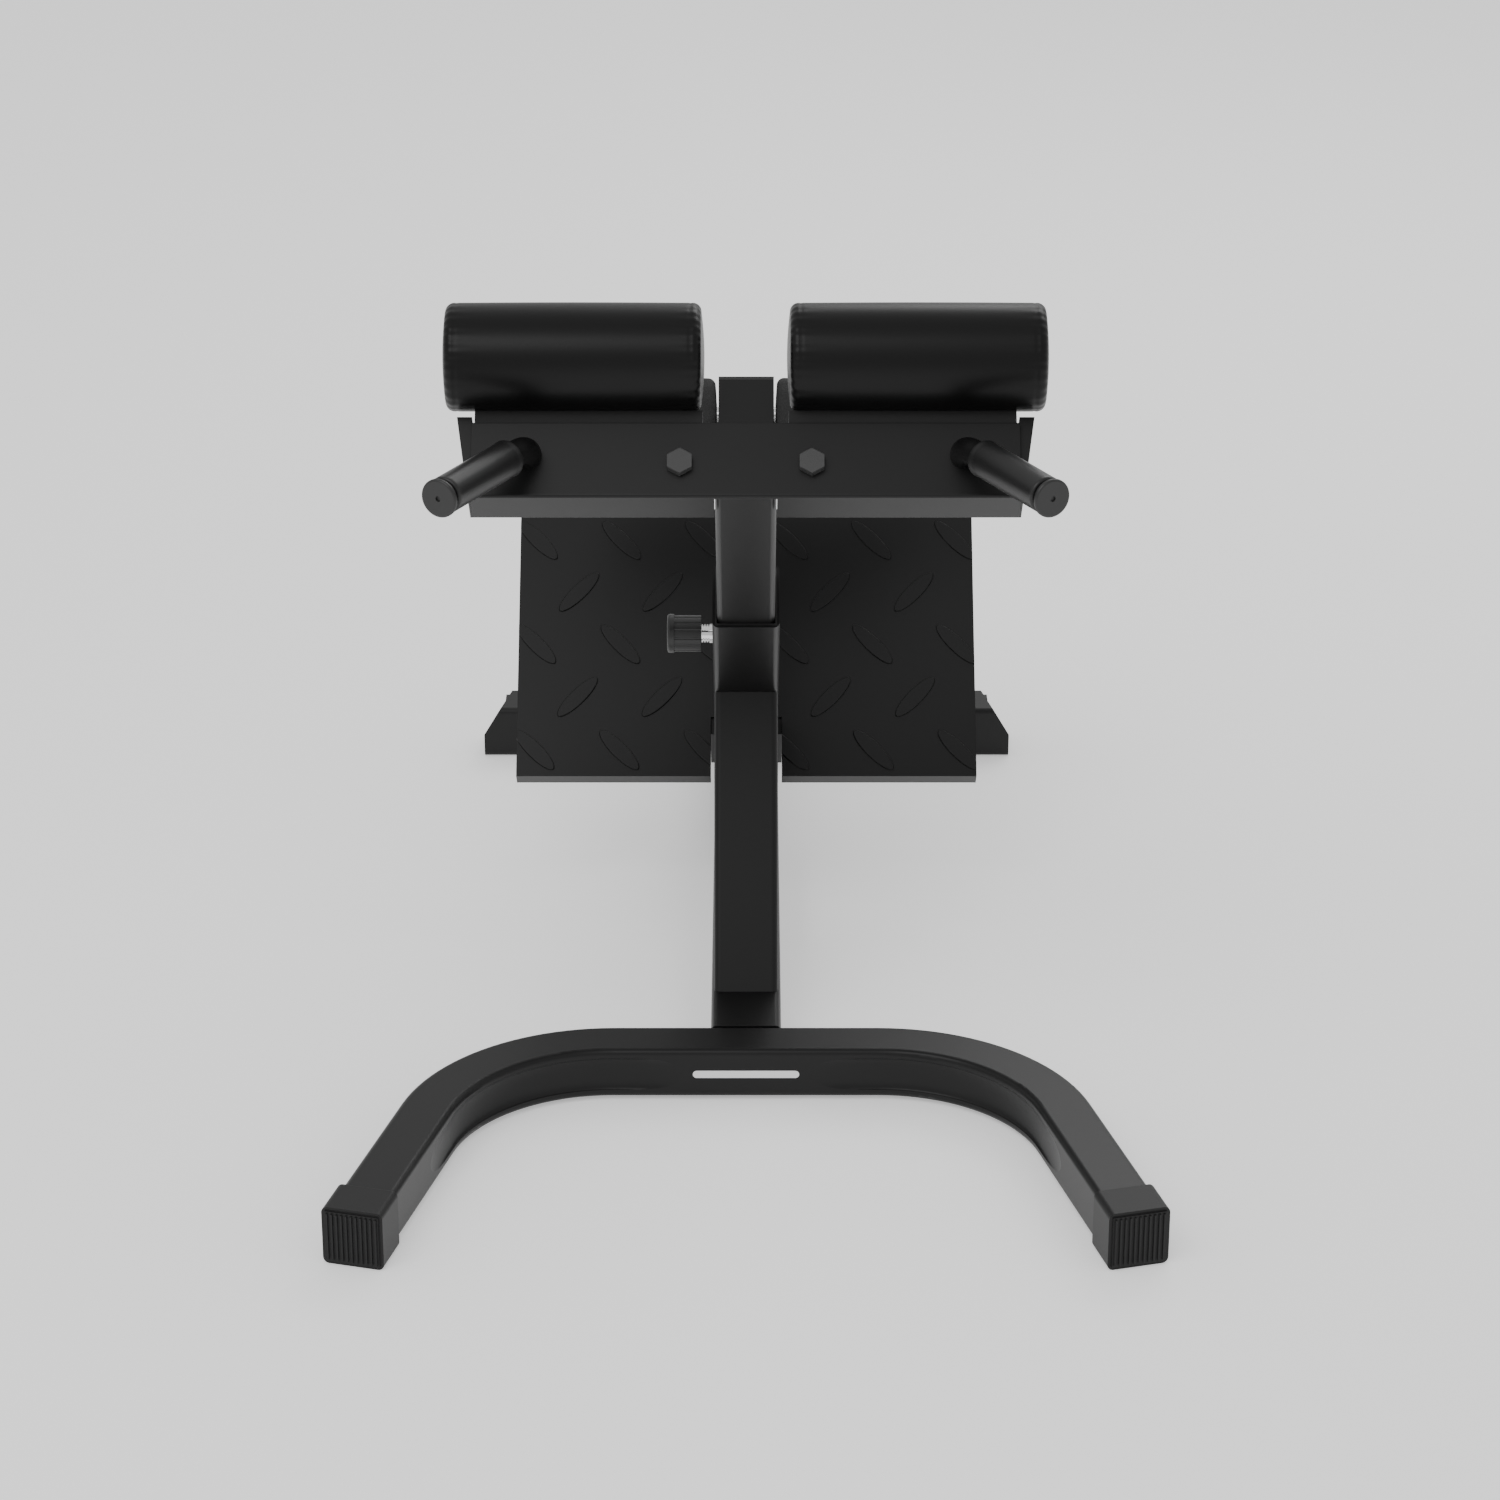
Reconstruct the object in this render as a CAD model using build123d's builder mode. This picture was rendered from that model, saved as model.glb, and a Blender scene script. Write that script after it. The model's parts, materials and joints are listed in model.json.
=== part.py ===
from build123d import *
import os
from math import cos, radians, sin, sqrt

# Roman chair (45 degree back extension bench), in millimetres, +Z up.
# Origin on the floor, in the centre plane, midway between the front and rear ends.
# The head end faces -Y, the feet end +Y, and X runs across the bench.

# Driving dimensions of the floor frame
FRONT_Y = -258          # rear face of the front crossbar
BASE_TUBE = 60          # square tube of the front and rear bases
BASE_CLEARANCE = 4      # rubber boots hold the tubes this far off the floor
BASE_TOP = BASE_CLEARANCE + BASE_TUBE
BASE_WALL = 8
CORNER = 7
BEND_RADIUS = 208       # on the centreline of the front base
BEND_START = 150        # half the straight length of the crossbar
ARM_SPLAY = 15          # degrees outward
ARM_LENGTH = 239
SPINE_WIDTH = 80
SPINE_LENGTH = 884
REAR_HALF_WIDTH = 320

# Driving dimensions of the inclined main tube
SLEEVE = 76
SLEEVE_WALL = 3
INNER = 65
INNER_WALL = 3
AXIS_CROSSING = 340.7   # height of station 0, and its distance behind the front crossbar
SLEEVE_MOUTH = 267      # station of the open upper end
INNER_BOTTOM = -60
HOLE_PITCH = 50
PIN_STATION = 156
PIN_DIAMETER = 12

# Driving dimensions of the pad carrier
CARRIER_STATION = 630   # front face of the carrier plate
CARRIER_HALF_WIDTH = 288.5
CARRIER_LOW = -38.5
CARRIER_HIGH = 46.5
CARRIER_FLANGE = 54
PLATE = 6
PAD_RADIUS = 57.2
PAD_LENGTH = 276
PAD_GAP = 87
PAD_STATION = 640
PAD_HEIGHT = 118

# Driving dimensions of the foot plate and the calf rollers
FOOT_STATION = -213
FOOT_WIDTH = 564
FOOT_TOP = 318
NOTCH_WIDTH = 87
POST_WIDTH = 66
POST_DEPTH = 60
POST_STATION = 50
POST_TOP = 358
ROLLER_RADIUS = 45
ROLLER_LENGTH = 150
ROLLER_HEIGHT = 325
AXLE_RADIUS = 10

# Plane of the main tube: local X across, local Y square to the tube, local Z up along it
MAIN = Plane(
    origin=(0, FRONT_Y + AXIS_CROSSING, AXIS_CROSSING), x_dir=(1, 0, 0), z_dir=(0, -1, 1)
)
SIDES = (("left", -1), ("right", 1))


def save(piece, label):
    """Name a finished piece and write its STEP file."""
    piece.part.label = label
    export_step(piece.part, f"parts/{label}.step")


def station(distance):
    """Plane square to the main tube at a distance along its axis."""
    return MAIN.offset(distance)


def main_point(x, height, distance):
    """World point from main-tube coordinates."""
    return MAIN.from_local_coords(Vector(x, height, distance))


def across(x, height, distance):
    """Plane facing +X through a point given in main-tube coordinates."""
    point = main_point(x, height, distance)
    return Plane(origin=point, x_dir=(0, 1, 1), z_dir=(1, 0, 0))


os.makedirs("parts", exist_ok=True)

# ---------------------------------------------------------------- front base
SPLAY = radians(ARM_SPLAY)
HALF = BASE_TUBE / 2
CROSSBAR_Y = FRONT_Y - HALF
BEND_CENTRE_Y = CROSSBAR_Y - BEND_RADIUS
MID_HEIGHT = BASE_CLEARANCE + HALF
ARM_START = (BEND_START + BEND_RADIUS * cos(SPLAY), BEND_CENTRE_Y + BEND_RADIUS * sin(SPLAY))
ARM_END = (ARM_START[0] + ARM_LENGTH * sin(SPLAY), ARM_START[1] - ARM_LENGTH * cos(SPLAY))


def bend_point(angle, inset):
    """Point on the right-hand bend, inset from the centreline towards its centre."""
    turn = radians(angle)
    reach = BEND_RADIUS - inset
    return (BEND_START + reach * cos(turn), BEND_CENTRE_Y + reach * sin(turn))


def arm_frame(side, distance):
    """Plane square to an arm, facing outward along it, at a distance past the bend."""
    x = ARM_START[0] + distance * sin(SPLAY)
    y = ARM_START[1] - distance * cos(SPLAY)
    return Plane(
        origin=(side * x, y, MID_HEIGHT),
        x_dir=(cos(SPLAY), side * sin(SPLAY), 0),
        z_dir=(side * sin(SPLAY), -cos(SPLAY), 0),
    )


GROOVE_DEPTH = 5
GROOVE_HEIGHT = 40
FADE_RADIUS = 600       # the groove runs out of the wall on wide arcs at both ends
FADE_ANGLE = 9
with BuildPart() as front_base:
    with BuildLine(Plane.XY.offset(MID_HEIGHT)):
        Line((-ARM_END[0], ARM_END[1]), (-ARM_START[0], ARM_START[1]))
        RadiusArc((-ARM_START[0], ARM_START[1]), (-BEND_START, CROSSBAR_Y), BEND_RADIUS)
        Line((-BEND_START, CROSSBAR_Y), (BEND_START, CROSSBAR_Y))
        RadiusArc((BEND_START, CROSSBAR_Y), ARM_START, BEND_RADIUS)
        Line(ARM_START, ARM_END)
    with BuildSketch(arm_frame(-1, ARM_LENGTH)):
        RectangleRounded(BASE_TUBE, BASE_TUBE, CORNER)
        Rectangle(BASE_TUBE - 2 * BASE_WALL, BASE_TUBE - 2 * BASE_WALL, mode=Mode.SUBTRACT)
    sweep()
    with BuildPart(mode=Mode.PRIVATE) as groove:
        with BuildLine(Plane.XY.offset(MID_HEIGHT)):
            run_in = JernArc(bend_point(90, HALF), (-1, 0), FADE_RADIUS, FADE_ANGLE)
            RadiusArc(bend_point(90, HALF), bend_point(ARM_SPLAY, HALF), BEND_RADIUS - HALF)
            JernArc(bend_point(ARM_SPLAY, HALF), (sin(SPLAY), -cos(SPLAY)), FADE_RADIUS, -FADE_ANGLE)
        groove_start = Plane(origin=run_in @ 1, x_dir=(0, 0, 1), z_dir=run_in % 1)
        with BuildSketch(groove_start):
            Ellipse(GROOVE_HEIGHT / 2, GROOVE_DEPTH)
        sweep()
    add(groove.part, mode=Mode.SUBTRACT)
    add(groove.part.mirror(Plane.YZ), mode=Mode.SUBTRACT)
save(front_base, "front_base")

BOOT_WALL = 4
BOOT_LENGTH = 50
BOOT_RIB = 2
for name, side in SIDES:
    with BuildPart() as front_boot:
        with BuildSketch(arm_frame(side, ARM_LENGTH - BOOT_LENGTH + 6)):
            RectangleRounded(BASE_TUBE + 2 * BOOT_WALL, BASE_TUBE + 2 * BOOT_WALL, CORNER)
        extrude(amount=BOOT_LENGTH)
        with BuildSketch(arm_frame(side, ARM_LENGTH - BOOT_LENGTH + 6)):
            RectangleRounded(BASE_TUBE, BASE_TUBE, CORNER)
        extrude(amount=BOOT_LENGTH - 6, mode=Mode.SUBTRACT)
        with BuildSketch(arm_frame(side, ARM_LENGTH + 6)):
            Rectangle(BASE_TUBE, BASE_TUBE)
        extrude(amount=2)
        with BuildSketch(arm_frame(side, ARM_LENGTH + 8)):
            with GridLocations(5.4, 0, 11, 1):
                Rectangle(BOOT_RIB, BASE_TUBE - 4)
        extrude(amount=2)
    save(front_boot, f"front_boot_{name}")

with BuildPart() as front_badge:
    badge_face = Plane(origin=(0, FRONT_Y - BASE_TUBE, MID_HEIGHT), x_dir=(1, 0, 0), z_dir=(0, -1, 0))
    with BuildSketch(badge_face):
        SlotOverall(120, 9)
    extrude(amount=0.6)
save(front_badge, "front_badge")

# ---------------------------------------------------------------- spine and rear base
with BuildPart() as floor_spine:
    with BuildSketch(Plane(origin=(0, FRONT_Y, MID_HEIGHT), x_dir=(1, 0, 0), z_dir=(0, 1, 0))):
        RectangleRounded(SPINE_WIDTH, BASE_TUBE, CORNER)
        Rectangle(SPINE_WIDTH - 6, BASE_TUBE - 6, mode=Mode.SUBTRACT)
    extrude(amount=SPINE_LENGTH)
save(floor_spine, "floor_spine")

REAR_Y = FRONT_Y + SPINE_LENGTH + HALF
with BuildPart() as rear_crossbar:
    rear_end = Plane(origin=(-REAR_HALF_WIDTH, REAR_Y, MID_HEIGHT), x_dir=(0, 1, 0), z_dir=(1, 0, 0))
    with BuildSketch(rear_end):
        RectangleRounded(BASE_TUBE, BASE_TUBE, CORNER)
        Rectangle(BASE_TUBE - 6, BASE_TUBE - 6, mode=Mode.SUBTRACT)
    extrude(amount=2 * REAR_HALF_WIDTH)
save(rear_crossbar, "rear_crossbar")

REAR_TIP = 27
for name, side in SIDES:
    with BuildPart() as rear_boot:
        inner_x = side * (REAR_HALF_WIDTH - 44)
        boot_start = Plane(origin=(inner_x, REAR_Y, MID_HEIGHT), x_dir=(0, side, 0), z_dir=(side, 0, 0))
        with BuildSketch(boot_start):
            RectangleRounded(BASE_TUBE + 2 * BOOT_WALL, BASE_TUBE + 2 * BOOT_WALL, CORNER)
        extrude(amount=44 + REAR_TIP)
        with BuildSketch(boot_start):
            RectangleRounded(BASE_TUBE, BASE_TUBE, CORNER)
        extrude(amount=44, mode=Mode.SUBTRACT)
        # the end leans inward from a third of its height up, and towards the rear
        shoulder = Plane(
            origin=(side * (REAR_HALF_WIDTH + REAR_TIP), FRONT_Y + SPINE_LENGTH, 30),
            x_dir=(0, 1, 0),
            z_dir=(side * 0.85, 0.18, 0.5),
        )
        split(bisect_by=shoulder, keep=Keep.BOTTOM)
    save(rear_boot, f"rear_boot_{name}")

# ---------------------------------------------------------------- inclined main tube
with BuildPart() as main_sleeve:
    with BuildSketch(station(SLEEVE_MOUTH)):
        RectangleRounded(SLEEVE, SLEEVE, CORNER)
        Rectangle(SLEEVE - 2 * SLEEVE_WALL, SLEEVE - 2 * SLEEVE_WALL, mode=Mode.SUBTRACT)
    extrude(amount=-720)
    split(bisect_by=Plane.XY.offset(BASE_TOP), keep=Keep.TOP)
    pin_plane = across(-SLEEVE / 2 - 1, 0, PIN_STATION)
    with BuildSketch(pin_plane):
        Circle(8.2)
    extrude(amount=SLEEVE_WALL + 2, mode=Mode.SUBTRACT)
save(main_sleeve, "main_sleeve")

STRUT_WIDTH = 74
STRUT_DEPTH = 50
STRUT_FOOT_Y = FRONT_Y + 82.3
STRUT_HEAD = (FRONT_Y + 264, 363)   # Y and Z where its front face meets the sleeve
strut_run = STRUT_HEAD[0] - STRUT_FOOT_Y
strut_rise = STRUT_HEAD[1] - BASE_TOP
strut_length = sqrt(strut_run**2 + strut_rise**2)
strut_up = Vector(0, strut_run / strut_length, strut_rise / strut_length)
strut_back = Vector(0, strut_rise / strut_length, -strut_run / strut_length)
strut_middle = Vector(0, STRUT_FOOT_Y, BASE_TOP) + strut_back * (STRUT_DEPTH / 2)
with BuildPart() as front_strut:
    with BuildSketch(Plane(origin=strut_middle - strut_up * 80, x_dir=(1, 0, 0), z_dir=strut_up)):
        RectangleRounded(STRUT_WIDTH, STRUT_DEPTH, CORNER)
        Rectangle(STRUT_WIDTH - 6, STRUT_DEPTH - 6, mode=Mode.SUBTRACT)
    extrude(amount=strut_length + 200)
    split(bisect_by=Plane.XY.offset(BASE_TOP), keep=Keep.TOP)
    lower_face = Plane(origin=main_point(0, -SLEEVE / 2, 0), x_dir=(1, 0, 0), z_dir=(0, 1, 1))
    split(bisect_by=lower_face, keep=Keep.BOTTOM)
save(front_strut, "front_strut")

BUSH_LENGTH = 60
for name, top in (("upper", SLEEVE_MOUTH), ("lower", SLEEVE_MOUTH - 200)):
    with BuildPart() as bushing:
        with BuildSketch(station(top)):
            Rectangle(SLEEVE - 2 * SLEEVE_WALL, SLEEVE - 2 * SLEEVE_WALL)
            Rectangle(INNER + 0.6, INNER + 0.6, mode=Mode.SUBTRACT)
        extrude(amount=-BUSH_LENGTH)
    save(bushing, f"sleeve_bushing_{name}")

PLATE_BACK = CARRIER_STATION - PLATE
with BuildPart() as inner_tube:
    with BuildSketch(station(INNER_BOTTOM)):
        RectangleRounded(INNER, INNER, 6)
        Rectangle(INNER - 2 * INNER_WALL, INNER - 2 * INNER_WALL, mode=Mode.SUBTRACT)
    extrude(amount=PLATE_BACK - INNER_BOTTOM)
    for step in range(6):
        with BuildSketch(across(-INNER / 2 - 1, 0, PIN_STATION + HOLE_PITCH * (step - 1))):
            Circle(PIN_DIAMETER / 2 + 0.5)
        extrude(amount=INNER_WALL + 2, mode=Mode.SUBTRACT)
save(inner_tube, "inner_tube")

with BuildPart() as inner_tube_plug:
    with BuildSketch(station(INNER_BOTTOM)):
        RectangleRounded(INNER - 1, INNER - 1, 5)
    extrude(amount=-3)
    with BuildSketch(station(INNER_BOTTOM)):
        Rectangle(INNER - 2 * INNER_WALL, INNER - 2 * INNER_WALL)
    extrude(amount=20)
save(inner_tube_plug, "inner_tube_plug")

# ---------------------------------------------------------------- pull pin
SLEEVE_SIDE = -SLEEVE / 2


def pin_plane_at(x):
    """Plane facing outward, to the left, on the pull pin's axis."""
    return Plane(origin=main_point(x, 0, PIN_STATION), x_dir=(0, 1, 1), z_dir=(-1, 0, 0))


with BuildPart() as pin_housing:
    with BuildSketch(pin_plane_at(SLEEVE_SIDE + SLEEVE_WALL)):
        Circle(8)
    extrude(amount=SLEEVE_WALL)
    with BuildSketch(pin_plane_at(SLEEVE_SIDE)):
        Circle(11)
    extrude(amount=4)
    for thread in range(3):
        with BuildSketch(pin_plane_at(SLEEVE_SIDE - 4 - 3 * thread)):
            Circle(9)
        extrude(amount=1.5)
        with BuildSketch(pin_plane_at(SLEEVE_SIDE - 5.5 - 3 * thread)):
            Circle(10.5)
        extrude(amount=1.5)
    with BuildSketch(pin_plane_at(SLEEVE_SIDE + SLEEVE_WALL)):
        Circle(5.3)
    extrude(amount=20, mode=Mode.SUBTRACT)
save(pin_housing, "pin_housing")

KNOB_START = SLEEVE_SIDE - 13.5
# the pin is stored drawn clear of the inner tube, so that the carrier can slide
PIN_TIP = -INNER / 2 - 0.8
PIN_IN_KNOB = 32
with BuildPart() as pull_pin:
    with BuildSketch(pin_plane_at(PIN_TIP)):
        Circle(5)
    extrude(amount=PIN_TIP - KNOB_START + PIN_IN_KNOB)
save(pull_pin, "pull_pin")

KNOB_LENGTH = 39
with BuildPart() as pin_knob:
    with BuildSketch(pin_plane_at(KNOB_START)):
        Circle(21)
        with PolarLocations(22.5, 14):
            Circle(2.2, mode=Mode.SUBTRACT)
    extrude(amount=KNOB_LENGTH - 8)
    with BuildSketch(pin_plane_at(KNOB_START - KNOB_LENGTH + 8)):
        Circle(22.5)
    extrude(amount=8)
    fillet(pin_knob.faces().sort_by(Axis.X)[0].edges(), 3)
    with BuildSketch(pin_plane_at(KNOB_START)):
        Circle(5)
    extrude(amount=PIN_IN_KNOB, mode=Mode.SUBTRACT)
    with BuildSketch(pin_plane_at(KNOB_START)):
        Circle(12.5)
    extrude(amount=14, mode=Mode.SUBTRACT)
save(pin_knob, "pin_knob")

# ---------------------------------------------------------------- pad carrier
CARRIER_MID = (CARRIER_LOW + CARRIER_HIGH) / 2
CARRIER_HEIGHT = CARRIER_HIGH - CARRIER_LOW
with BuildPart() as carrier_plate:
    with BuildSketch(station(CARRIER_STATION)):
        with Locations((0, CARRIER_MID)):
            Rectangle(2 * CARRIER_HALF_WIDTH, CARRIER_HEIGHT)
    extrude(amount=-PLATE)
    with BuildSketch(station(PLATE_BACK)):
        with Locations((0, CARRIER_LOW + PLATE / 2)):
            Rectangle(2 * CARRIER_HALF_WIDTH, PLATE)
            Rectangle(INNER + 1, PLATE, mode=Mode.SUBTRACT)
        with Locations((0, CARRIER_HIGH - PLATE / 2)):
            Rectangle(2 * CARRIER_HALF_WIDTH, PLATE)
    extrude(amount=-CARRIER_FLANGE + PLATE)
    fillet(carrier_plate.edges().filter_by(Axis.X).sort_by(Axis.Y)[0], 3)
save(carrier_plate, "carrier_plate")

CHEEK_TOP = 56
CHEEK_BOTTOM_OUT = 2.5
CHEEK_TOP_OUT = 16
for name, side in SIDES:
    with BuildPart() as cheek:
        with BuildSketch(station(PLATE_BACK)):
            with BuildLine():
                Polyline(
                    (side * CARRIER_HALF_WIDTH, CARRIER_LOW),
                    (side * (CARRIER_HALF_WIDTH + CHEEK_BOTTOM_OUT), CARRIER_LOW),
                    (side * (CARRIER_HALF_WIDTH + CHEEK_TOP_OUT), CHEEK_TOP),
                    (side * CARRIER_HALF_WIDTH, CHEEK_TOP),
                    close=True,
                )
            make_face()
        extrude(amount=-CARRIER_FLANGE + PLATE)
    save(cheek, f"carrier_cheek_{name}")

PAD_MID = PAD_GAP / 2 + PAD_LENGTH / 2
BOARD = 22
BOARD_LENGTH = 240
BOARD_MID = PAD_GAP / 2 + 2 + BOARD_LENGTH / 2
for name, side in SIDES:
    with BuildPart() as pad_board:
        with BuildSketch(station(CARRIER_STATION - 2)):
            with Locations((side * BOARD_MID, CARRIER_HIGH + BOARD / 2)):
                Rectangle(BOARD_LENGTH, BOARD)
        extrude(amount=-CARRIER_FLANGE + 4)
        with BuildSketch(across(side * PAD_MID - PAD_LENGTH / 2, PAD_HEIGHT, PAD_STATION)):
            Circle(PAD_RADIUS + 0.3)
        extrude(amount=PAD_LENGTH, mode=Mode.SUBTRACT)
    save(pad_board, f"pad_board_{name}")

    with BuildPart() as hip_pad:
        with BuildSketch(across(side * PAD_MID - PAD_LENGTH / 2, PAD_HEIGHT, PAD_STATION)):
            Circle(PAD_RADIUS)
            Circle(16.3, mode=Mode.SUBTRACT)
        extrude(amount=PAD_LENGTH)
        fillet(hip_pad.edges().filter_by(GeomType.CIRCLE).group_by(SortBy.RADIUS)[-1], 9)
    save(hip_pad, f"hip_pad_{name}")

    with BuildPart() as pad_core:
        with BuildSketch(across(side * PAD_MID - PAD_LENGTH / 2 + 6, PAD_HEIGHT, PAD_STATION)):
            Circle(16)
            Circle(13, mode=Mode.SUBTRACT)
        extrude(amount=PAD_LENGTH - 12)
    save(pad_core, f"pad_core_{name}")

BOLT_X = 69.5
BOLT_HEIGHT = 0
HEX_RADIUS = 13 / cos(radians(30))
with BuildPart() as carrier_bolts:
    with BuildSketch(station(CARRIER_STATION)):
        with Locations((-BOLT_X, BOLT_HEIGHT), (BOLT_X, BOLT_HEIGHT)):
            RegularPolygon(HEX_RADIUS, 6, rotation=30)
    extrude(amount=9)
    chamfer(carrier_bolts.faces().group_by(Axis.Z)[-1].edges(), 1.2)
save(carrier_bolts, "carrier_bolts")

# ---------------------------------------------------------------- handles
HANDLE_RADIUS = 14
GRIP_RADIUS = 19.5
GRIP_LENGTH = 125
HANDLE_X = 228
HANDLE_HEIGHT = 8
HANDLE_REACH = 24
GRIP_DIRECTION = (0.473, -0.618, 0.63)  # outward, down and forward, in main-tube axes
for name, side in SIDES:
    lean = Vector(side * GRIP_DIRECTION[0], GRIP_DIRECTION[1], GRIP_DIRECTION[2]).normalized()
    corner = Vector(side * HANDLE_X, HANDLE_HEIGHT, CARRIER_STATION + HANDLE_REACH)
    root = Vector(side * HANDLE_X, HANDLE_HEIGHT, CARRIER_STATION)
    tip = corner + lean * (GRIP_LENGTH + 45)
    grip_start = corner + lean * 40
    to_world = MAIN.from_local_coords
    lean_world = to_world(grip_start + lean) - to_world(grip_start)
    with BuildPart() as handle_tube:
        with BuildLine():
            FilletPolyline(to_world(root), to_world(corner), to_world(tip), radius=45)
        with BuildSketch(station(CARRIER_STATION)):
            with Locations((side * HANDLE_X, HANDLE_HEIGHT)):
                Circle(HANDLE_RADIUS)
        sweep()
    save(handle_tube, f"handle_tube_{name}")

    with BuildPart() as hand_grip:
        with BuildSketch(Plane(origin=to_world(grip_start), z_dir=lean_world)):
            Circle(GRIP_RADIUS)
            Circle(HANDLE_RADIUS, mode=Mode.SUBTRACT)
        extrude(amount=GRIP_LENGTH)
        fillet(hand_grip.edges().filter_by(GeomType.CIRCLE).group_by(SortBy.RADIUS)[-1], 2)
    save(hand_grip, f"hand_grip_{name}")

    with BuildPart() as grip_cap:
        with BuildSketch(Plane(origin=to_world(tip), z_dir=lean_world)):
            Circle(GRIP_RADIUS + 1)
        extrude(amount=6)
        fillet(grip_cap.edges().filter_by(GeomType.CIRCLE), 2.4)
        with BuildSketch(Plane(origin=to_world(tip + lean * 6), z_dir=lean_world)):
            Circle(3)
        extrude(amount=-2, mode=Mode.SUBTRACT)
    save(grip_cap, f"grip_cap_{name}")

# ---------------------------------------------------------------- foot plate
FOOT_PLATE = 4
FOOT_LIP = 22
with BuildPart() as foot_plate:
    with BuildSketch(station(FOOT_STATION)):
        with Locations((0, (FOOT_TOP + CARRIER_LOW) / 2)):
            Rectangle(FOOT_WIDTH, FOOT_TOP - CARRIER_LOW)
    extrude(amount=-FOOT_PLATE)
    with BuildSketch(station(FOOT_STATION - FOOT_PLATE)):
        with Locations((0, CARRIER_LOW + FOOT_PLATE / 2)):
            Rectangle(FOOT_WIDTH, FOOT_PLATE)
    extrude(amount=-FOOT_LIP)
    fillet(foot_plate.edges().filter_by(Axis.X).sort_by(Axis.Z)[0], 3.5)
    with BuildSketch(station(FOOT_STATION + 1)):
        with Locations((0, (SLEEVE / 2 + 1 + CARRIER_LOW - 1) / 2)):
            Rectangle(NOTCH_WIDTH, SLEEVE / 2 + 2 - CARRIER_LOW)
    extrude(amount=-FOOT_LIP - 10, mode=Mode.SUBTRACT)
save(foot_plate, "foot_plate")

TREAD_LENGTH = 70
TREAD_WIDTH = 20
TREAD_RISE = 1.6
TREAD_ANGLE = 47
TREAD_PITCH_X = 104
TREAD_PITCH_Y = 70
FIRST_ROW = -4.5
with BuildPart() as foot_treads:
    with BuildSketch(station(FOOT_STATION)):
        for row in range(5):
            lean = 1 if row % 2 else -1
            columns = 5 if row % 2 else 6
            for column in range(columns):
                x = (column - (columns - 1) / 2) * TREAD_PITCH_X
                with Locations(Location((x, FIRST_ROW + row * TREAD_PITCH_Y, 0), (0, 0, lean * TREAD_ANGLE))):
                    Ellipse(TREAD_LENGTH / 2, TREAD_WIDTH / 2)
    extrude(amount=TREAD_RISE, taper=30)
    with BuildSketch(station(FOOT_STATION)):
        with Locations((0, (FOOT_TOP + CARRIER_LOW) / 2 + 2)):
            Rectangle(FOOT_WIDTH, FOOT_TOP - CARRIER_LOW - 4)
        Rectangle(NOTCH_WIDTH, SLEEVE + 6, mode=Mode.SUBTRACT)
    extrude(amount=TREAD_RISE, mode=Mode.INTERSECT)
save(foot_treads, "foot_treads")

BRACKET = 6
for name, side in SIDES:
    with BuildPart() as foot_bracket:
        with BuildSketch(across(side * SLEEVE / 2 + (0 if side > 0 else -BRACKET), 0, 0)):
            with BuildLine():
                Polyline(
                    (SLEEVE / 2 - 20, FOOT_STATION - FOOT_PLATE),
                    (SLEEVE / 2 + 90, FOOT_STATION - FOOT_PLATE),
                    (SLEEVE / 2, FOOT_STATION - FOOT_PLATE - 100),
                    (SLEEVE / 2 - 20, FOOT_STATION - FOOT_PLATE - 100),
                    close=True,
                )
            make_face()
        extrude(amount=BRACKET)
    save(foot_bracket, f"foot_bracket_{name}")

# ---------------------------------------------------------------- calf rollers
with BuildPart() as roller_post:
    with BuildSketch(station(POST_STATION - POST_DEPTH / 2)):
        with Locations((0, (SLEEVE / 2 + POST_TOP) / 2)):
            Rectangle(POST_WIDTH, POST_TOP - SLEEVE / 2)
    extrude(amount=POST_DEPTH)
    with BuildSketch(station(POST_STATION - POST_DEPTH / 2 + INNER_WALL)):
        with Locations((0, (SLEEVE / 2 + POST_TOP) / 2)):
            Rectangle(POST_WIDTH - 6, POST_TOP - SLEEVE / 2)
    extrude(amount=POST_DEPTH - 6, mode=Mode.SUBTRACT)
    with BuildSketch(across(-POST_WIDTH, ROLLER_HEIGHT, POST_STATION)):
        Circle(AXLE_RADIUS)
    extrude(amount=2 * POST_WIDTH, mode=Mode.SUBTRACT)
save(roller_post, "roller_post")

with BuildPart() as post_cap:
    with BuildSketch(station(POST_STATION - POST_DEPTH / 2)):
        with Locations((0, POST_TOP + 2)):
            Rectangle(POST_WIDTH, 4)
    extrude(amount=POST_DEPTH)
save(post_cap, "post_cap")

AXLE_HALF = POST_WIDTH / 2 + ROLLER_LENGTH + 8
with BuildPart() as roller_axle:
    with BuildSketch(across(-AXLE_HALF, ROLLER_HEIGHT, POST_STATION)):
        Circle(AXLE_RADIUS)
    extrude(amount=2 * AXLE_HALF)
save(roller_axle, "roller_axle")

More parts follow.
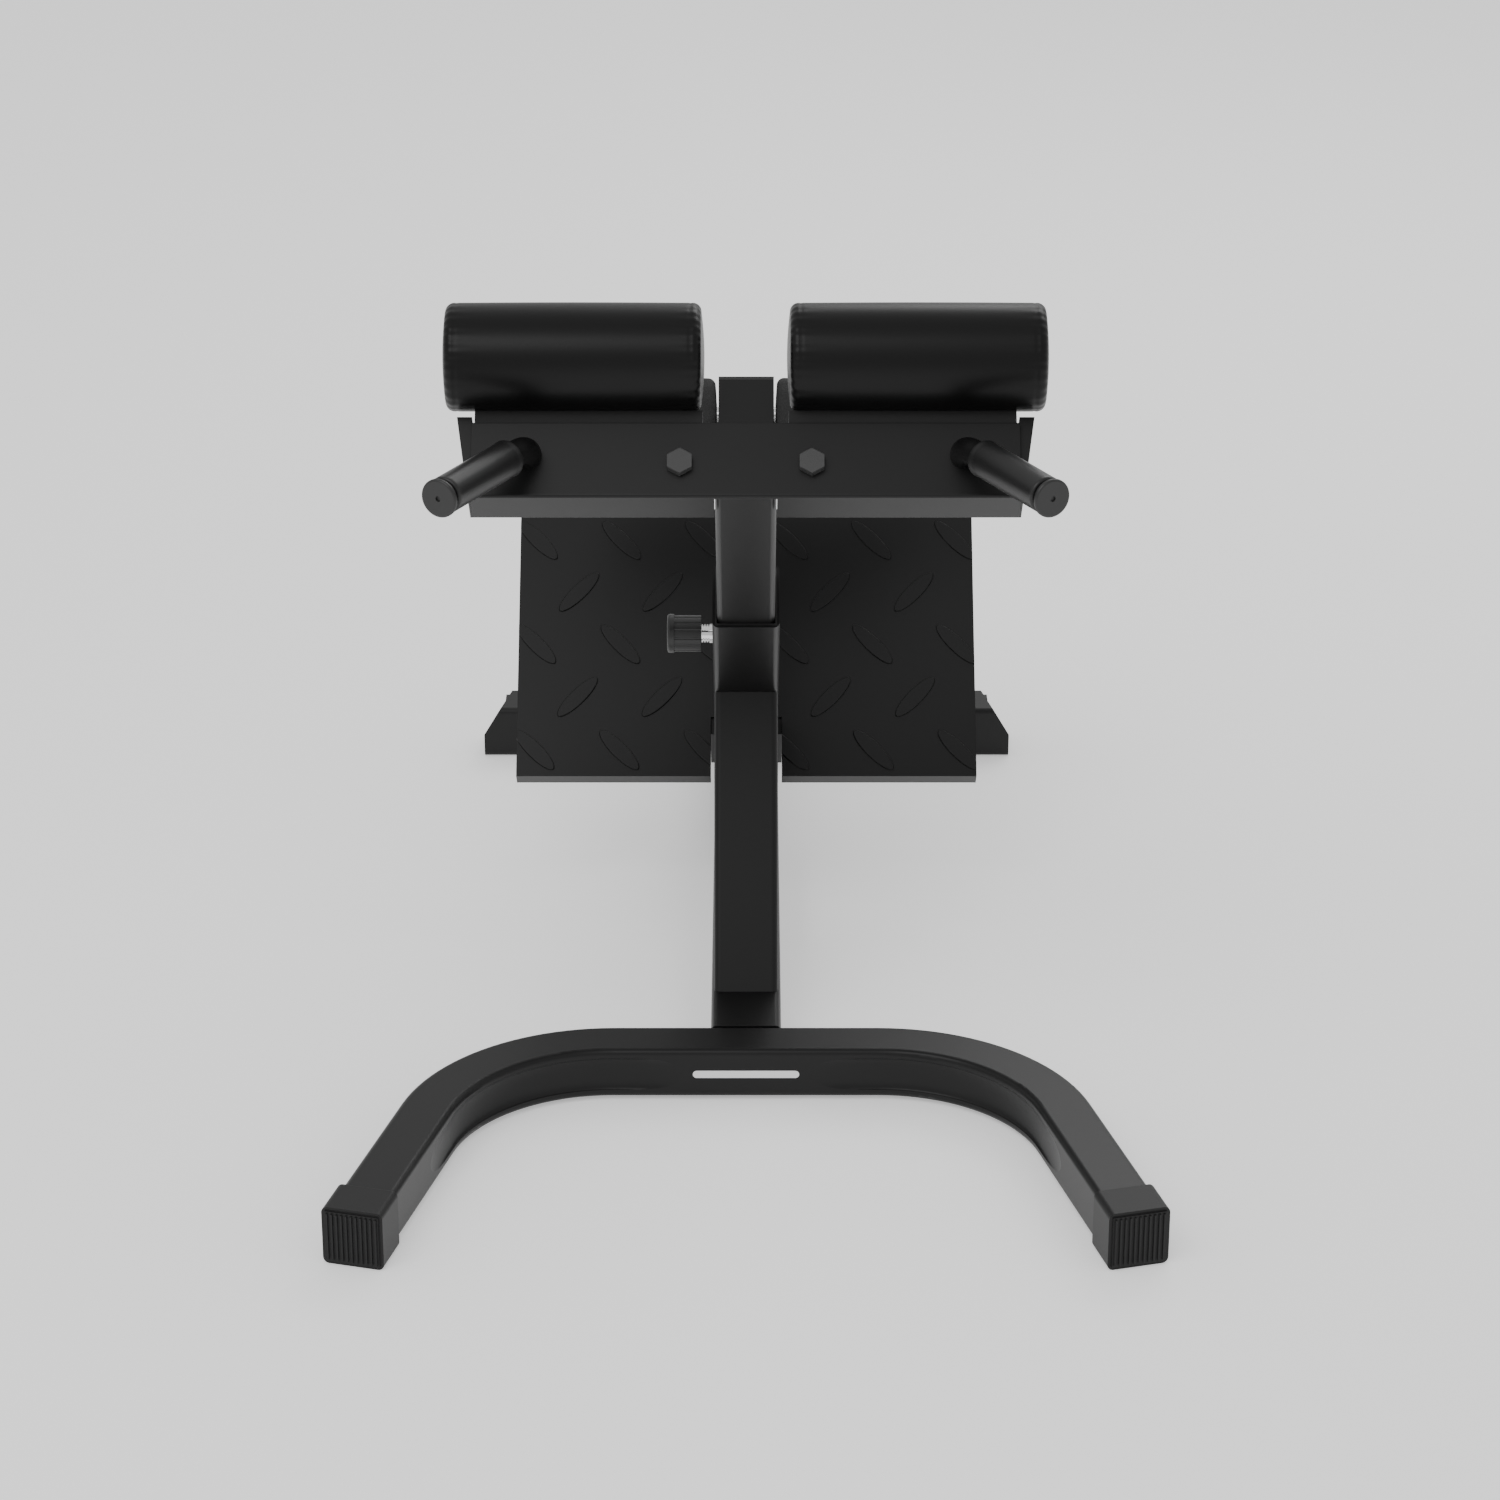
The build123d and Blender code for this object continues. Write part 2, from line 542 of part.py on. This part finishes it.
for name, side in SIDES:
    start = POST_WIDTH / 2 + 2 if side > 0 else -POST_WIDTH / 2 - 2 - ROLLER_LENGTH
    with BuildPart() as calf_roller:
        with BuildSketch(across(start, ROLLER_HEIGHT, POST_STATION)):
            Circle(ROLLER_RADIUS)
            Circle(14.3, mode=Mode.SUBTRACT)
        extrude(amount=ROLLER_LENGTH)
        fillet(calf_roller.edges().filter_by(GeomType.CIRCLE).group_by(SortBy.RADIUS)[-1], 8)
    save(calf_roller, f"calf_roller_{name}")

    with BuildPart() as roller_tube:
        with BuildSketch(across(start, ROLLER_HEIGHT, POST_STATION)):
            Circle(14.3)
            Circle(AXLE_RADIUS + 0.3, mode=Mode.SUBTRACT)
        extrude(amount=ROLLER_LENGTH)
    save(roller_tube, f"roller_tube_{name}")

    cap_x = side * (POST_WIDTH / 2 + 2 + ROLLER_LENGTH + 1)
    with BuildPart() as axle_cap:
        with BuildSketch(Plane(origin=main_point(cap_x, ROLLER_HEIGHT, POST_STATION), z_dir=(side, 0, 0))):
            Circle(22)
        extrude(amount=8)
        with BuildSketch(Plane(origin=main_point(cap_x, ROLLER_HEIGHT, POST_STATION), z_dir=(side, 0, 0))):
            Circle(AXLE_RADIUS)
        extrude(amount=5, mode=Mode.SUBTRACT)
    save(axle_cap, f"axle_cap_{name}")
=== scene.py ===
import json
import math

import bmesh
import bpy
from mathutils import Matrix, Vector


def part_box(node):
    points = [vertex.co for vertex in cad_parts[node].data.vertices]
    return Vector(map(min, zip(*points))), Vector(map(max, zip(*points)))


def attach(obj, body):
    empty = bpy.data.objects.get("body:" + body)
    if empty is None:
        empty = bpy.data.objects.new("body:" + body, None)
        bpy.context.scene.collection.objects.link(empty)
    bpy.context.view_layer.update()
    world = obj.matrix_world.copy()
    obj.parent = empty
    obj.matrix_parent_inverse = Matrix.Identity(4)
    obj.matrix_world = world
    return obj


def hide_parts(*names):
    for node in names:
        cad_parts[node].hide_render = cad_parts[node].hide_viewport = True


# Looks for the roman chair: materials, hip pads, foam rollers, grips, floor, light and camera.
# Metres, in the CAD frame: +Z up, head end towards -Y.

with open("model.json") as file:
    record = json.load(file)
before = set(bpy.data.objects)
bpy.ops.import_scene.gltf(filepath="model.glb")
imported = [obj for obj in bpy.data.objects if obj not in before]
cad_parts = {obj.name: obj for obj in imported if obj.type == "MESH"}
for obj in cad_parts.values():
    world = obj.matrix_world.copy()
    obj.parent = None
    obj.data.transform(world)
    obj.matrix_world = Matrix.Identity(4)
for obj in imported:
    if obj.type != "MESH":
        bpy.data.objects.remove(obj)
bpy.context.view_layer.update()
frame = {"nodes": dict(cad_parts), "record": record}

ARC_STEPS = 8

PAD_EDGE = 0.0095       # radius of the rounded rim
PAD_DOME = 0.003        # how far the end swells past the rim
PUCKERS = 34
PUCKER_DEPTH = 0.00035
PUCKER_FADE = 0.012
STITCH_DEPTH = 0.000385
STITCH_INSET = PAD_EDGE + 0.002
STITCH_WIDTH = 0.0016
CROWN = 0.0006
SEAM_ANGLE = 0.6
SEAM_DEPTH = 0.0012
SEAM_WIDTH = 0.0015

FOAM_EDGE = 0.009
FOAM_DOME = 0.0015
LUMP_DEPTH = 0.0005

GRIP_LENGTH = 0.125
GRIP_RADIUS = 0.0195
GRIP_BORE = 0.014
GRIP_STEPS = 40
COLLAR_FOOT = GRIP_RADIUS - 0.0015
COLLAR_RISE = 0.0021
COLLAR_LENGTH = 0.002

FLOOR_HALF = 12
CAMERA_PLACE = (0.0045, -4.688, 2.418)
CAMERA_DIP = 24.4       # degrees below level
CAMERA_LENS = 105.6     # millimetres, on a 36 mm sensor


# ------------------------------------------------------------------ materials
def new_material(name, color, roughness, specular=0.5, metallic=0.0):
    """A principled material; returns it with its shader node and node tree."""
    material = bpy.data.materials.new(name)
    material.use_nodes = True
    tree = material.node_tree
    shader = tree.nodes["Principled BSDF"]
    shader.inputs["Base Color"].default_value = (*color, 1)
    shader.inputs["Roughness"].default_value = roughness
    shader.inputs["Specular IOR Level"].default_value = specular
    shader.inputs["Metallic"].default_value = metallic
    return material, shader, tree


def add_bump(tree, shader, scale, strength, distance, detail=4.0, bevel=0.0):
    """Fine noise relief, laid over softened edges when bevel is above zero."""
    coordinates = tree.nodes.new("ShaderNodeTexCoord")
    noise = tree.nodes.new("ShaderNodeTexNoise")
    noise.inputs["Scale"].default_value = scale
    noise.inputs["Detail"].default_value = detail
    bump = tree.nodes.new("ShaderNodeBump")
    bump.inputs["Strength"].default_value = strength
    bump.inputs["Distance"].default_value = distance
    tree.links.new(coordinates.outputs["Object"], noise.inputs["Vector"])
    tree.links.new(noise.outputs["Fac"], bump.inputs["Height"])
    if bevel > 0:
        soft_edge = tree.nodes.new("ShaderNodeBevel")
        soft_edge.inputs["Radius"].default_value = bevel
        tree.links.new(soft_edge.outputs["Normal"], bump.inputs["Normal"])
    tree.links.new(bump.outputs["Normal"], shader.inputs["Normal"])
    return noise


def vary_roughness(tree, shader, noise, low, high):
    """Slightly uneven gloss from the same noise."""
    spread = tree.nodes.new("ShaderNodeMapRange")
    spread.inputs["To Min"].default_value = low
    spread.inputs["To Max"].default_value = high
    tree.links.new(noise.outputs["Fac"], spread.inputs["Value"])
    tree.links.new(spread.outputs["Result"], shader.inputs["Roughness"])


def black_paint():
    material, shader, tree = new_material("satin_black_powder_coat", (0.006, 0.006, 0.006), 0.36, 0.28)
    noise = add_bump(tree, shader, 700, 0.06, 0.0004, bevel=0.0012)
    vary_roughness(tree, shader, noise, 0.33, 0.41)
    return material


def boot_rubber():
    material, shader, tree = new_material("boot_rubber", (0.009, 0.009, 0.009), 0.46, 0.3)
    add_bump(tree, shader, 500, 0.12, 0.0006, bevel=0.001)
    return material


def leatherette():
    material, shader, tree = new_material("black_leatherette", (0.003, 0.003, 0.003), 0.36, 0.22)
    noise = add_bump(tree, shader, 420, 0.07, 0.0005, detail=6)
    vary_roughness(tree, shader, noise, 0.32, 0.42)
    return material


def foam():
    material, shader, tree = new_material("open_cell_foam", (0.03, 0.03, 0.03), 0.8, 0.25)
    add_bump(tree, shader, 380, 0.9, 0.003, detail=8)
    return material


def grip_rubber():
    material, shader, tree = new_material("grip_rubber", (0.008, 0.008, 0.008), 0.36, 0.45)
    add_bump(tree, shader, 650, 0.08, 0.0004)
    return material


def black_plastic():
    material, shader, tree = new_material("moulded_black_plastic", (0.014, 0.014, 0.014), 0.38)
    add_bump(tree, shader, 800, 0.05, 0.0003, bevel=0.0006)
    return material


def chrome():
    material, shader, tree = new_material("chrome_plate", (0.8, 0.8, 0.8), 0.08, metallic=1.0)
    add_bump(tree, shader, 300, 0.02, 0.0002)
    return material


def bare_steel():
    material, shader, tree = new_material("drawn_steel", (0.45, 0.45, 0.45), 0.34, metallic=1.0)
    add_bump(tree, shader, 400, 0.1, 0.0003)
    return material


def painted_board():
    material, shader, tree = new_material("painted_plywood", (0.012, 0.012, 0.012), 0.6, 0.3)
    add_bump(tree, shader, 160, 0.2, 0.0008)
    return material


def bolt_steel():
    material, shader, tree = new_material("blackened_steel", (0.04, 0.04, 0.04), 0.5)
    add_bump(tree, shader, 1400, 0.5, 0.0008, bevel=0.0008)
    return material


def badge_enamel():
    material, shader, tree = new_material("white_enamel", (0.85, 0.85, 0.85), 0.35)
    add_bump(tree, shader, 300, 0.02, 0.0002)
    return material


MATERIALS = {
    "black_paint": black_paint(),
    "boot_rubber": boot_rubber(),
    "pad_leatherette": leatherette(),
    "roller_foam": foam(),
    "grip_rubber": grip_rubber(),
    "black_plastic": black_plastic(),
    "chrome": chrome(),
    "bare_steel": bare_steel(),
    "pad_wood": painted_board(),
    "bolt_steel": bolt_steel(),
    "badge_white": badge_enamel(),
}


def dress(piece, slot_name):
    """Give a piece only the material of its slot."""
    piece.data.materials.clear()
    piece.data.materials.append(MATERIALS[slot_name])


for subpart in frame["record"]["subparts"]:
    dress(frame["nodes"][subpart["node"]], subpart["material_slot"])


# ------------------------------------------------------------------ soft pieces
def lathe(name, profile, centre, axis, segments, relief):
    """A closed turned mesh. profile lists (distance along axis, radius), ends at radius zero."""
    mesh = bpy.data.meshes.new(name)
    work = bmesh.new()
    turn = Vector((0, 0, 1)).rotation_difference(axis.normalized()).to_matrix().to_4x4()
    place = Matrix.Translation(centre) @ turn
    first = work.verts.new(place @ Vector((0, 0, profile[0][0])))
    rings = []
    for distance, radius in profile[1:-1]:
        ring = []
        for step in range(segments):
            angle = 2 * math.pi * step / segments
            reach = radius + relief(angle, distance, radius)
            ring.append(
                work.verts.new(place @ Vector((reach * math.cos(angle), reach * math.sin(angle), distance)))
            )
        rings.append(ring)
    last = work.verts.new(place @ Vector((0, 0, profile[-1][0])))
    for step in range(segments):
        following = (step + 1) % segments
        work.faces.new((first, rings[0][following], rings[0][step]))
        work.faces.new((last, rings[-1][step], rings[-1][following]))
        for low, high in zip(rings, rings[1:]):
            work.faces.new((low[step], low[following], high[following], high[step]))
    bmesh.ops.recalc_face_normals(work, faces=work.faces)
    work.to_mesh(mesh)
    work.free()
    for face in mesh.polygons:
        face.use_smooth = True
    piece = bpy.data.objects.new(name, mesh)
    bpy.context.scene.collection.objects.link(piece)
    return piece


def no_relief(angle, distance, radius):
    return 0.0


def stuffed_profile(half, radius, edge, dome, body_steps):
    """Half outline of a stuffed roll: domed end, rounded rim, long body, mirrored."""
    side = [(-half - dome, 0.0)]
    for step in range(1, ARC_STEPS + 1):
        share = step / ARC_STEPS
        side.append((-half - dome * (1 - share * share), (radius - edge) * share))
    for step in range(1, ARC_STEPS + 1):
        angle = math.pi / 2 * step / ARC_STEPS
        side.append((-half + edge * (1 - math.cos(angle)), radius - edge + edge * math.sin(angle)))
    body = []
    for step in range(1, body_steps):
        body.append((-half + edge + 2 * (half - edge) * step / body_steps, radius))
    return side + body + [(-distance, reach) for distance, reach in reversed(side)]


def hip_pad(side):
    """A leatherette roll: puckered just inside each sewn rim, with a seam along its underside."""
    node = f"hip_pad_{side}"
    low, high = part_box(node)
    centre = (low + high) / 2
    half = (high.x - low.x) / 2 - PAD_DOME
    radius = (high.z - low.z) / 2

    def relief(angle, distance, reach):
        from_end = half - abs(distance)
        if reach < radius - PAD_EDGE:
            return 0.0
        wave = math.sin(PUCKERS * angle + 2 * math.sin(3 * angle))
        pucker = PUCKER_DEPTH * wave * math.exp(-from_end / PUCKER_FADE)
        stitch_line = -STITCH_DEPTH * math.exp(-(((from_end - STITCH_INSET) / STITCH_WIDTH) ** 2))
        crown = CROWN * math.cos(math.pi * distance / (2 * half))
        from_seam = math.atan2(math.sin(angle - SEAM_ANGLE), math.cos(angle - SEAM_ANGLE))
        seam = -SEAM_DEPTH * math.exp(-((from_seam * radius / SEAM_WIDTH) ** 2))
        return pucker + stitch_line + crown + seam

    profile = stuffed_profile(half, radius, PAD_EDGE, PAD_DOME, 120)
    pad = lathe(f"pad_cover_{side}", profile, centre, Vector((1, 0, 0)), 288, relief)
    dress(pad, "pad_leatherette")
    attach(pad, "carrier")
    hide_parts(node)


def calf_roller(side):
    """A foam roll with a rounded, slightly lumpy skin."""
    node = f"calf_roller_{side}"
    low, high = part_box(node)
    centre = (low + high) / 2
    half = (high.x - low.x) / 2
    radius = (high.z - low.z) / 2

    def relief(angle, distance, reach):
        if reach < radius * 0.5:
            return 0.0
        lumps = math.sin(9 * angle + 60 * distance) * math.sin(5 * angle - 90 * distance)
        return LUMP_DEPTH * lumps - LUMP_DEPTH

    profile = stuffed_profile(half - FOAM_DOME, radius, FOAM_EDGE, FOAM_DOME, 60)
    roll = lathe(f"foam_roll_{side}", profile, centre, Vector((1, 0, 0)), 144, relief)
    dress(roll, "roller_foam")
    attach(roll, f"roller_{side}")
    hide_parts(node)


def hand_grip(side):
    """A rubber sleeve with a rolled collar at the inner end."""
    node = f"hand_grip_{side}"
    low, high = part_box(node)
    cap_low, cap_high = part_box(f"grip_cap_{side}")
    centre = (low + high) / 2
    axis = ((cap_low + cap_high) / 2 - centre).normalized()
    half = GRIP_LENGTH / 2
    profile = [(-half, 0.0), (-half, GRIP_BORE), (-half, COLLAR_FOOT)]
    for step in range(1, ARC_STEPS + 1):
        angle = math.pi / 2 * step / ARC_STEPS
        collar = COLLAR_FOOT + COLLAR_RISE * math.sin(angle)
        profile.append((-half + COLLAR_LENGTH * (1 - math.cos(angle)), collar))
    for step in range(GRIP_STEPS + 1):
        profile.append((-half + 0.006 + (GRIP_LENGTH - 0.008) * step / GRIP_STEPS, GRIP_RADIUS))
    profile += [(half, GRIP_RADIUS - 0.0008), (half, GRIP_BORE), (half, 0.0)]

    grip = lathe(f"grip_sleeve_{side}", profile, centre, axis, 96, no_relief)
    dress(grip, "grip_rubber")
    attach(grip, "carrier")
    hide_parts(node)


for side in ("left", "right"):
    hip_pad(side)
    calf_roller(side)
    hand_grip(side)


# ------------------------------------------------------------------ stage, light, camera
def studio_floor():
    mesh = bpy.data.meshes.new("studio_floor")
    corners = [(x * FLOOR_HALF, y * FLOOR_HALF, 0) for x, y in ((-1, -1), (1, -1), (1, 1), (-1, 1))]
    mesh.from_pydata(corners, [], [(0, 1, 2, 3)])
    floor = bpy.data.objects.new("studio_floor", mesh)
    bpy.context.scene.collection.objects.link(floor)
    material, shader, tree = new_material("pale_floor", (0.86, 0.86, 0.86), 0.9, 0.1)
    shader.inputs["Emission Color"].default_value = (1, 1, 1, 1)
    shader.inputs["Emission Strength"].default_value = 0.45
    mesh.materials.append(material)


def soft_light(name, place, target, size, power):
    light = bpy.data.lights.new(name, "AREA")
    light.shape = "RECTANGLE"
    light.size = size[0]
    light.size_y = size[1]
    light.energy = power
    lamp = bpy.data.objects.new(name, light)
    lamp.location = place
    lamp.rotation_euler = (Vector(target) - Vector(place)).to_track_quat("-Z", "Y").to_euler()
    bpy.context.scene.collection.objects.link(lamp)


def studio_world():
    world = bpy.data.worlds.new("studio")
    bpy.context.scene.world = world
    world.use_nodes = True
    background = world.node_tree.nodes["Background"]
    background.inputs["Color"].default_value = (1, 1, 1, 1)
    background.inputs["Strength"].default_value = 0.75


def studio_camera():
    camera = bpy.data.cameras.new("camera")
    camera.sensor_width = 36
    camera.lens = CAMERA_LENS
    holder = bpy.data.objects.new("camera", camera)
    holder.location = CAMERA_PLACE
    holder.rotation_euler = (math.radians(90 - CAMERA_DIP), 0, 0)
    bpy.context.scene.collection.objects.link(holder)
    bpy.context.scene.camera = holder


studio_floor()
studio_world()
soft_light("key", (-1.5, -2.5, 4.0), (0, 0, 0.5), (3.0, 2.0), 60)
soft_light("rim", (1.5, 3.0, 3.0), (0, 0, 0.6), (3.0, 1.5), 40)
studio_camera()
